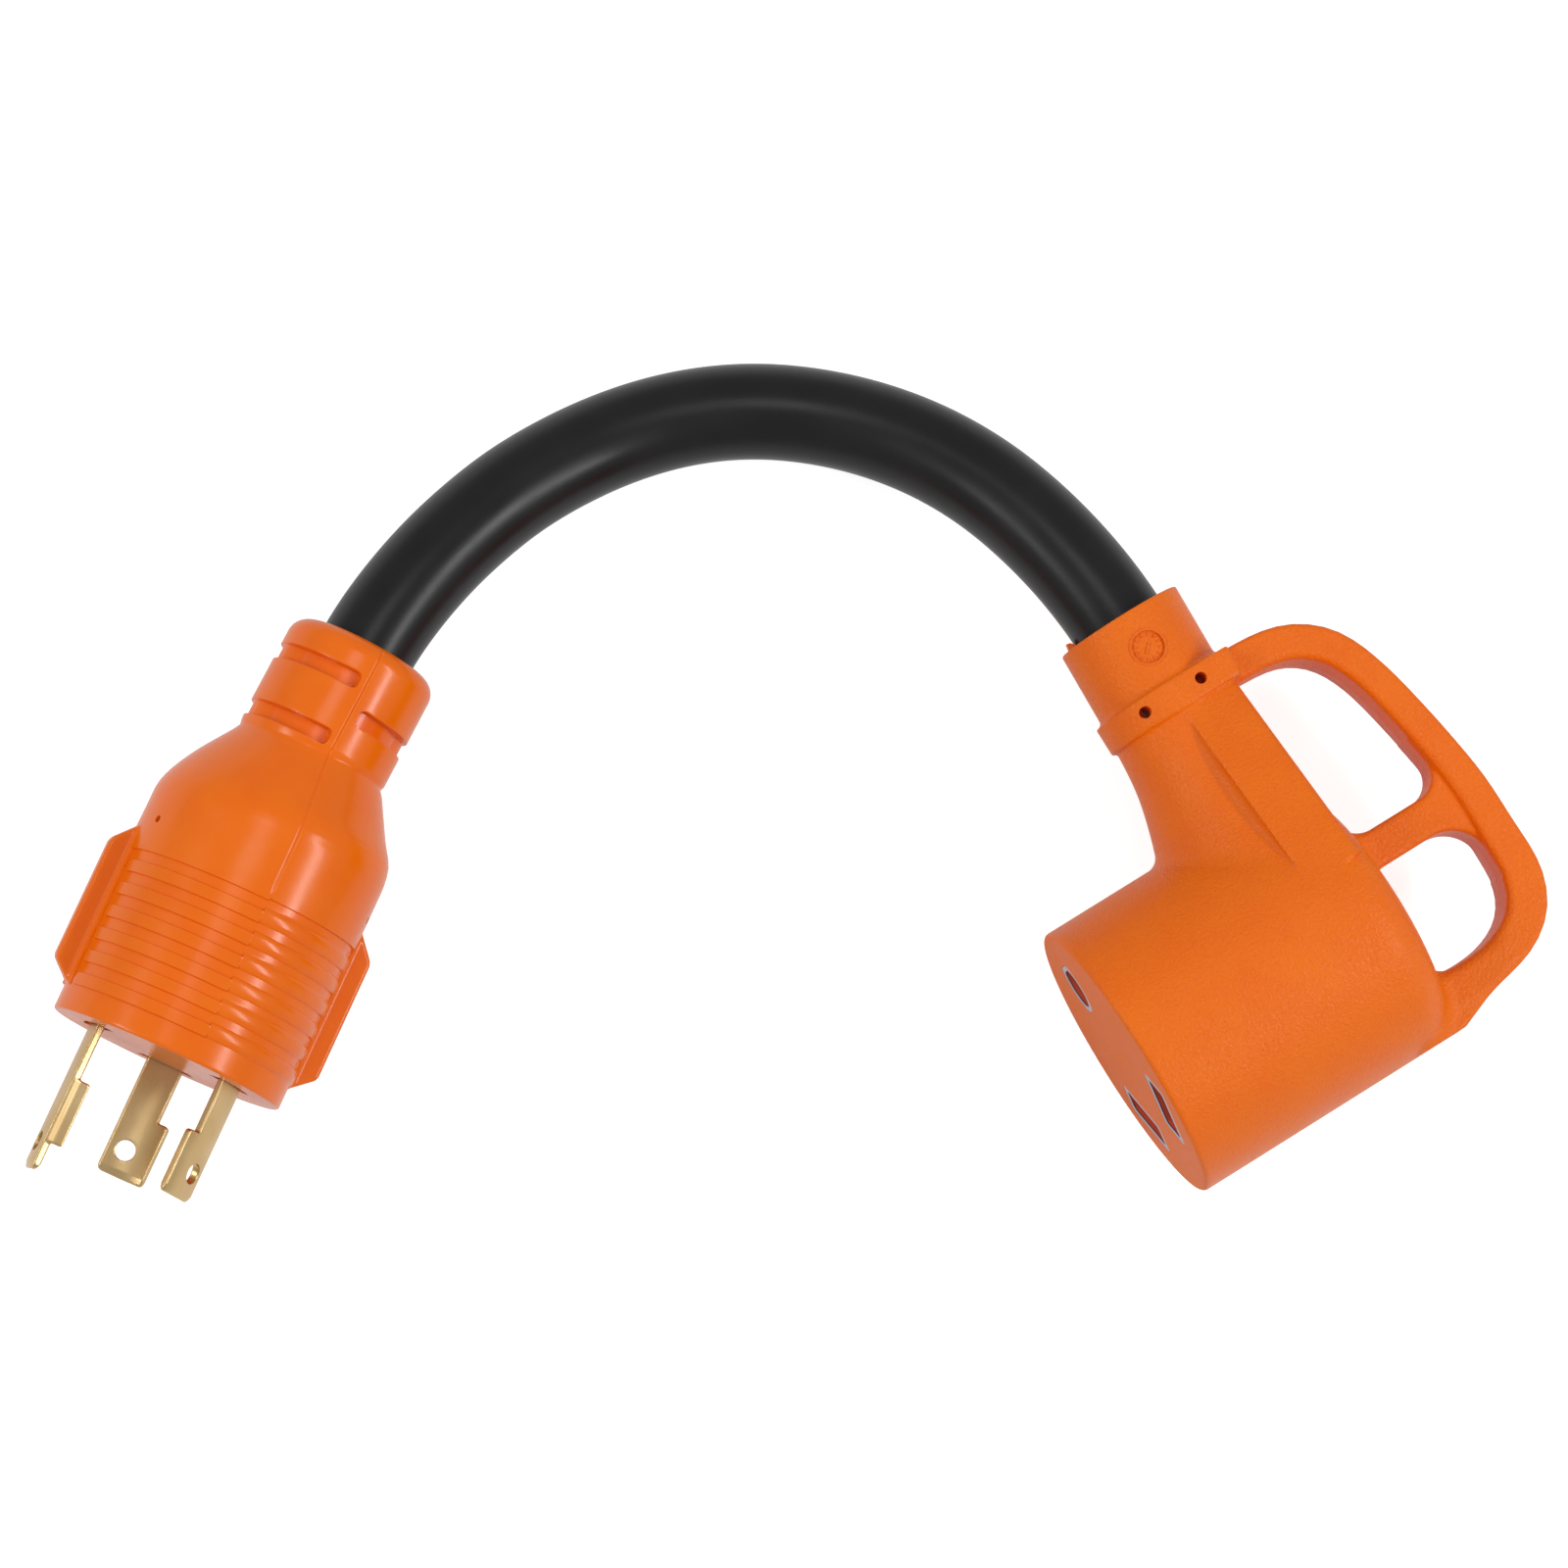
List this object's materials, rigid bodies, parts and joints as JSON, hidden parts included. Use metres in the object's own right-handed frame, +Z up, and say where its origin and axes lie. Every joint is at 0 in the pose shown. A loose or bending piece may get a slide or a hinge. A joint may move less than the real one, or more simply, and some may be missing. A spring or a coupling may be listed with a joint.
{
  "type": "shore power adapter cord",
  "caption": "Short heavy power cord: a round three-blade locking plug, a thick bent cord and a right-angle trailer socket with a D-shaped pull handle.",
  "frame": {"origin": "middle of the box round the plug and the socket, on the surface the cord lies on", "axes": "-X is the way the socket's face looks, +Y runs from the socket's barrel along its neck to the cord, +Z is up from the surface that the cord lies on"},
  "size_m": [0.2619, 0.1841, 0.0546],
  "materials": {
    "overmould": "satin",
    "insert": "satin",
    "inner_mould": "matt",
    "brass": "brushed",
    "jacket": "satin",
    "filler": "fibrous",
    "black_insulation": "satin",
    "white_insulation": "satin",
    "green_insulation": "satin",
    "copper": "drawn wire"
  },
  "bodies": {
    "root": {"plug_body": "overmould", "socket_body": "overmould", "plug_insert": "insert", "socket_core": "insert", "socket_core_cover": "insert", "plug_inner_mould": "inner_mould", "socket_inner_mould": "inner_mould", "blade_line": "brass", "blade_neutral": "brass", "blade_ground": "brass", "contact_line": "brass", "contact_neutral": "brass", "contact_ground": "brass", "cord_jacket": "jacket", "cord_fillers": "filler", "wire_line": "black_insulation", "wire_neutral": "white_insulation", "wire_ground": "green_insulation", "copper_line": "copper", "copper_neutral": "copper", "copper_ground": "copper"}
  },
  "joints": []
}
